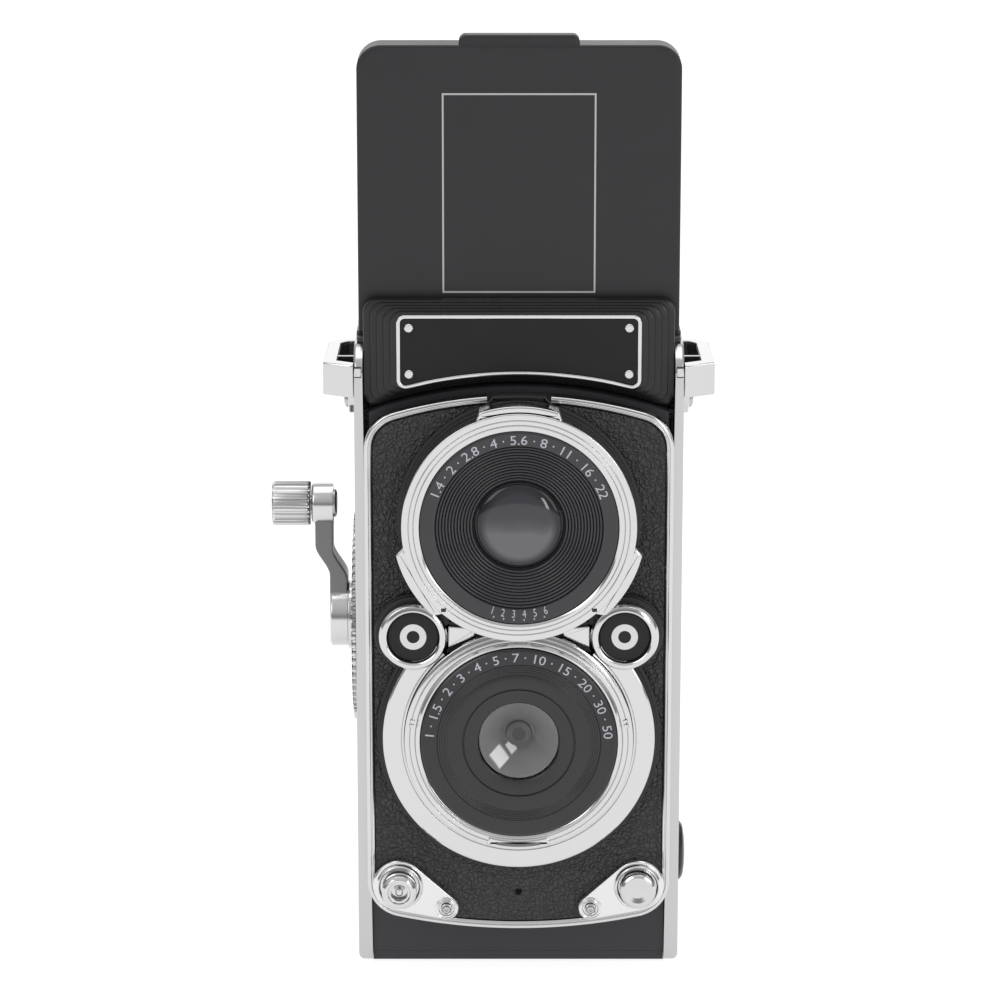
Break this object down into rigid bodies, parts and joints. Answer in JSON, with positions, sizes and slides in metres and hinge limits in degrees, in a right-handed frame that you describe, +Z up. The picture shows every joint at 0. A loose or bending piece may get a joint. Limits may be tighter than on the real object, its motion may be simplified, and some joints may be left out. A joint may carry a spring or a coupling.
{
  "type": "twin lens reflex camera",
  "caption": "Small upright box camera with two stacked round lenses, an open hood lid, a side crank and strap lugs.",
  "frame": {"origin": "centre of the underside, at the level that the camera stands on", "axes": "+Z up, lenses look along -Y, crank on -X, shutter button and power button on the +X half"},
  "size_m": [0.058, 0.0527, 0.1232],
  "materials": {
    "black_plastic": "fine satin moulded black",
    "leatherette": "black grained leatherette",
    "chrome_trim": "bright plated",
    "satin_metal": "satin",
    "steel": "turned",
    "gloss_black": "gloss black",
    "soft_rubber": "matte flexible rubber",
    "clear_glass": "coated, clear",
    "circuit_board": "green solder mask"
  },
  "bodies": {
    "body": {"front_shell": "black_plastic", "rear_cover": "black_plastic", "base_plate": "black_plastic", "top_deck": "black_plastic", "name_block": "black_plastic", "lens_board": "black_plastic", "lens_plate": "black_plastic", "upper_bezel": "black_plastic", "lower_bezel": "black_plastic", "side_panel_left": "leatherette", "side_panel_right": "leatherette", "rear_panel": "leatherette", "board_leather": "leatherette", "side_frame_left": "chrome_trim", "side_frame_right": "chrome_trim", "board_trim": "chrome_trim", "name_trim": "chrome_trim", "name_rivet_1": "chrome_trim", "name_rivet_2": "chrome_trim", "name_rivet_3": "chrome_trim", "name_rivet_4": "chrome_trim", "upper_bayonet_ring": "chrome_trim", "lower_bayonet_ring": "chrome_trim", "lower_flange": "chrome_trim", "bridge_left": "chrome_trim", "bridge_right": "chrome_trim", "corner_plate_left": "chrome_trim", "corner_plate_right": "chrome_trim", "sync_socket": "chrome_trim", "strap_lug_left": "chrome_trim", "strap_lug_right": "chrome_trim", "tripod_bush": "satin_metal", "hinge_pin_left": "steel", "hinge_pin_right": "steel", "plate_screw_left": "steel", "plate_screw_right": "steel", "lug_screw_left": "steel", "lug_screw_right": "steel", "battery_cell": "steel", "name_plate": "gloss_black", "lens_barrel": "gloss_black", "viewing_lens": "clear_glass", "lens_window": "clear_glass", "screen_glass": "clear_glass", "sensor_board": "circuit_board", "main_board": "circuit_board"},
    "lid": {"hood_lid": "black_plastic"},
    "crank": {"crank_wheel": "satin_metal", "crank_arm": "chrome_trim", "crank_shaft": "steel", "crank_screw": "steel"},
    "grip": {"crank_grip": "chrome_trim"},
    "power": {"power_button": "gloss_black"},
    "shutter": {"shutter_button": "chrome_trim"},
    "key": {"rear_key": "gloss_black"},
    "door": {"port_door": "soft_rubber"},
    "dial_left": {"dial_rim_left": "chrome_trim", "dial_cap_left": "gloss_black"},
    "dial_right": {"dial_rim_right": "chrome_trim", "dial_cap_right": "gloss_black"}
  },
  "joints": [
    {"name": "lid_hinge", "type": "hinge", "parent": "body", "child": "lid", "pos_m": [0, -0.0135, 0.0863], "axis": [-1, 0, 0], "range_deg": [0, 90]},
    {"name": "crank_spin", "type": "hinge", "parent": "body", "child": "crank", "pos_m": [-0.0225, -0.0045, 0.0432], "axis": [-1, 0, 0], "continuous": true},
    {"name": "grip_spin", "type": "hinge", "parent": "crank", "child": "grip", "pos_m": [-0.03, -0.0045, 0.0587], "axis": [-1, 0, 0], "continuous": true},
    {"name": "power_press", "type": "slide", "parent": "body", "child": "power", "axis": [-1, 0, 0], "range_m": [0, 0.0005], "stiffness_N_per_m": 200, "springref_m": -0.002},
    {"name": "shutter_press", "type": "slide", "parent": "body", "child": "shutter", "axis": [0, 1, 0], "range_m": [0, 0.0008], "stiffness_N_per_m": 200, "springref_m": -0.002},
    {"name": "key_press", "type": "slide", "parent": "body", "child": "key", "axis": [0, -1, 0], "range_m": [0, 0.0004], "stiffness_N_per_m": 200, "springref_m": -0.002},
    {"name": "door_hinge", "type": "hinge", "parent": "body", "child": "door", "pos_m": [-0.008, 0.02156, 0.014], "axis": [0, 0, 1], "range_deg": [0, 100]},
    {"name": "dial_left_turn", "type": "hinge", "parent": "body", "child": "dial_left", "pos_m": [-0.0136, -0.027, 0.0471], "axis": [0, -1, 0], "range_deg": [-135, 135]},
    {"name": "dial_right_turn", "type": "hinge", "parent": "body", "child": "dial_right", "pos_m": [0.0136, -0.027, 0.0471], "axis": [0, -1, 0], "range_deg": [-135, 135]}
  ]
}
